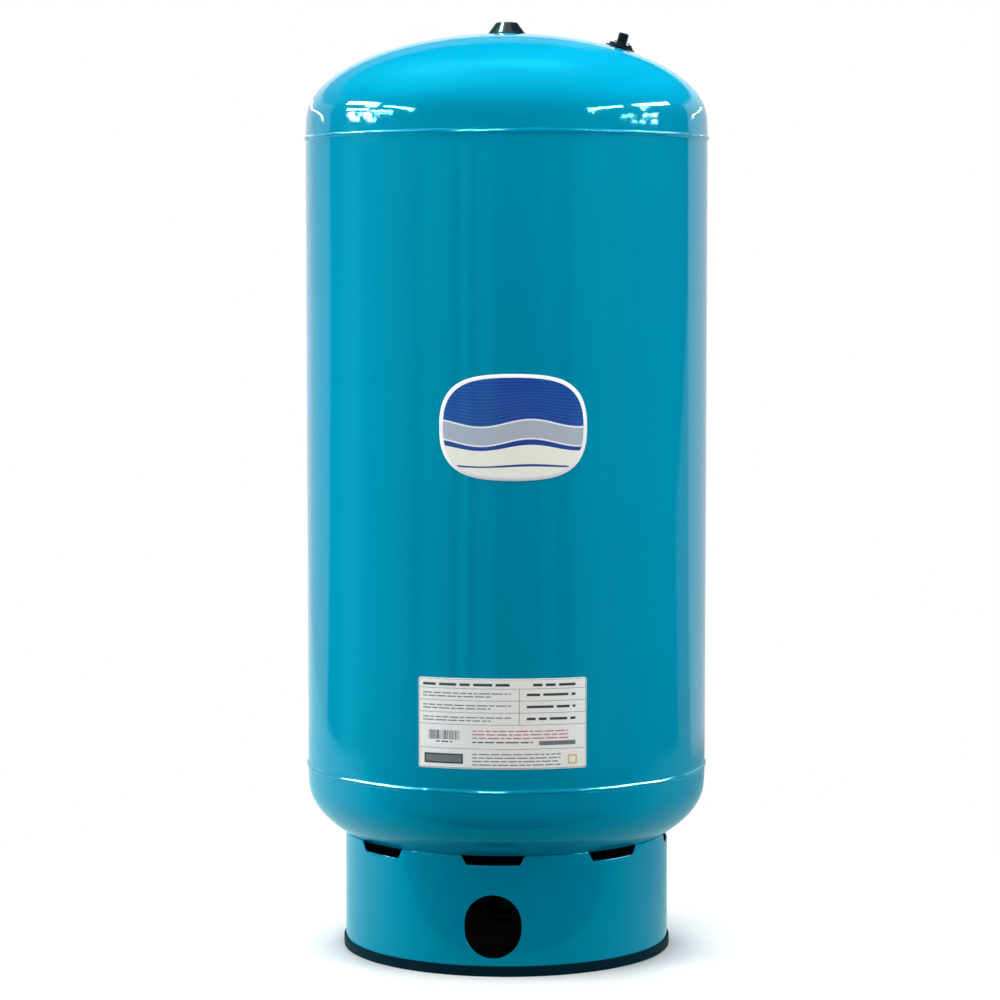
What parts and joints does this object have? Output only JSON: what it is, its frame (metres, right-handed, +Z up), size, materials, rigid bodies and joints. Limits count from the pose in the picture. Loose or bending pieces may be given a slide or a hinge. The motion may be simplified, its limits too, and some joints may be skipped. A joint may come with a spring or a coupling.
{
  "type": "well pressure tank",
  "caption": "Upright steel pressure tank for a water well, with an inner diaphragm, an air valve on its domed top, and a skirt base round the water connection.",
  "frame": {"origin": "on the floor, at the centre of the foot ring", "axes": "+Z is up along the tank's axis, -Y faces the pipe hole and the water connection's mouth, +X is the side of the air valve"},
  "size_m": [0.544, 0.544, 1.2484],
  "materials": {
    "teal_paint": "glossy teal enamel over steel, with a slight orange peel",
    "black_rubber": "smooth black rubber",
    "black_plastic": "moulded black plastic with a soft gloss",
    "stainless": "plain stainless steel",
    "zinc_steel": "zinc-plated steel",
    "brass": "turned brass",
    "butyl_rubber": "matt black butyl rubber",
    "white_polymer": "satin white moulded polymer"
  },
  "bodies": {
    "tank": {"base_skirt": "teal_paint", "body_cylinder": "teal_paint", "body_seam_weld": "teal_paint", "upper_girth_weld": "teal_paint", "lower_girth_weld": "teal_paint", "upper_head": "teal_paint", "lower_head": "teal_paint", "valve_boss": "teal_paint", "foot_ring": "black_rubber", "valve_ring_seal": "black_rubber", "inlet_seal": "black_rubber", "top_plug": "black_plastic", "valve_guard": "black_plastic", "inlet_fitting": "stainless", "elbow": "stainless", "lifting_boss": "zinc_steel", "clench_ring": "zinc_steel", "inlet_washer": "zinc_steel", "inlet_nut": "zinc_steel", "valve_stem": "brass", "valve_core": "brass", "diaphragm": "butyl_rubber", "liner": "white_polymer"},
    "cap": {"valve_cap": "black_plastic", "cap_seal": "black_rubber"},
    "pin": {"core_pin": "brass"}
  },
  "joints": [
    {"name": "cap_lift", "type": "slide", "parent": "tank", "child": "cap", "axis": [0.2804, 0, 0.9599], "range_m": [0, 0.025]},
    {"name": "pin_press", "type": "slide", "parent": "tank", "child": "pin", "axis": [-0.2804, 0, -0.9599], "range_m": [0, 0.0012], "stiffness_N_per_m": 300, "springref_m": -0.001}
  ]
}
